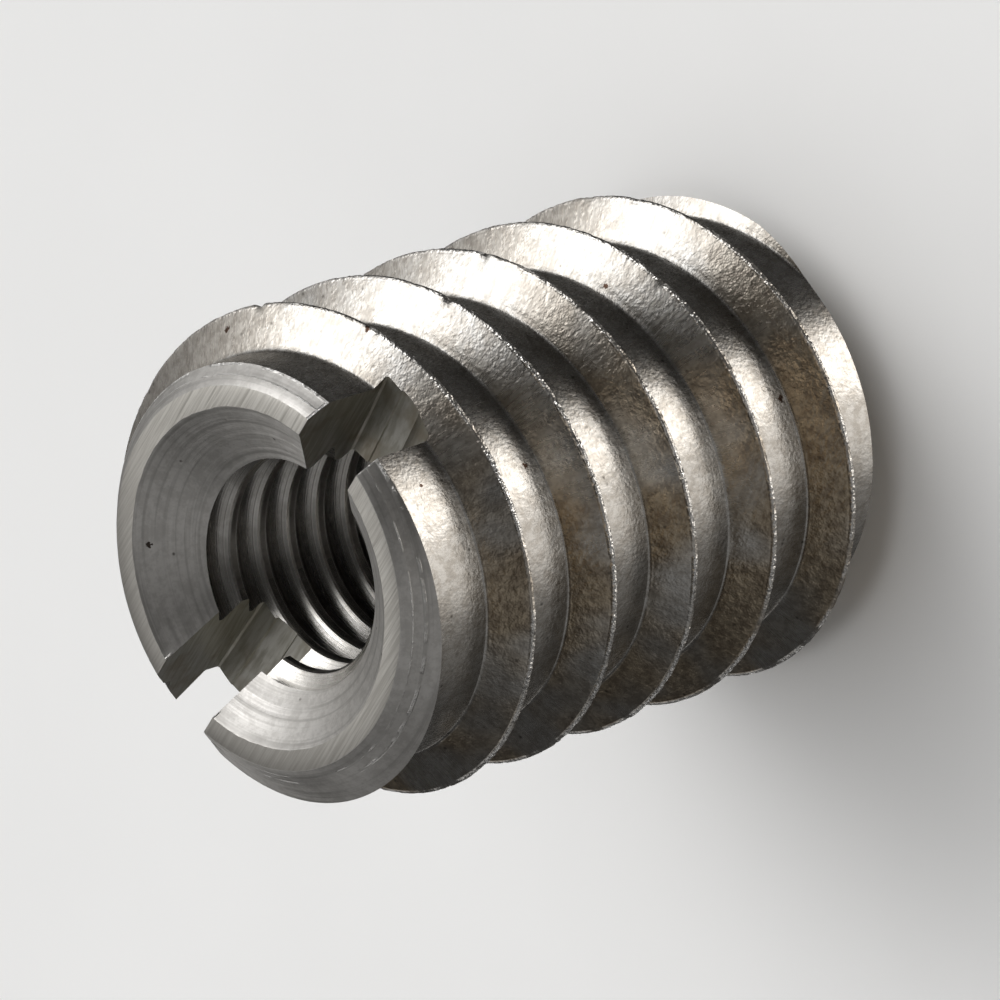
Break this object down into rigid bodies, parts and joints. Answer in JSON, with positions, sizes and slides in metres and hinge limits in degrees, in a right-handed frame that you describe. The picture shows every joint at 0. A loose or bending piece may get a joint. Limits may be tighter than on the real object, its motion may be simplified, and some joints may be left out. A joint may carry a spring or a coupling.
{
  "type": "insert nut",
  "caption": "Slotted screw-in insert nut for wood: a coarse outside thread on a straight core, a threaded bore with a countersunk mouth and a screwdriver slot.",
  "frame": {"origin": "centre of the plain end face, on the axis", "axes": "+Z along the axis, from the plain end towards the slotted end; +X along the screwdriver slot"},
  "size_m": [0.0154, 0.0154, 0.02],
  "materials": {
    "stainless": "satin, turned and tumbled"
  },
  "bodies": {
    "root": {"insert_nut": "stainless"}
  },
  "joints": []
}
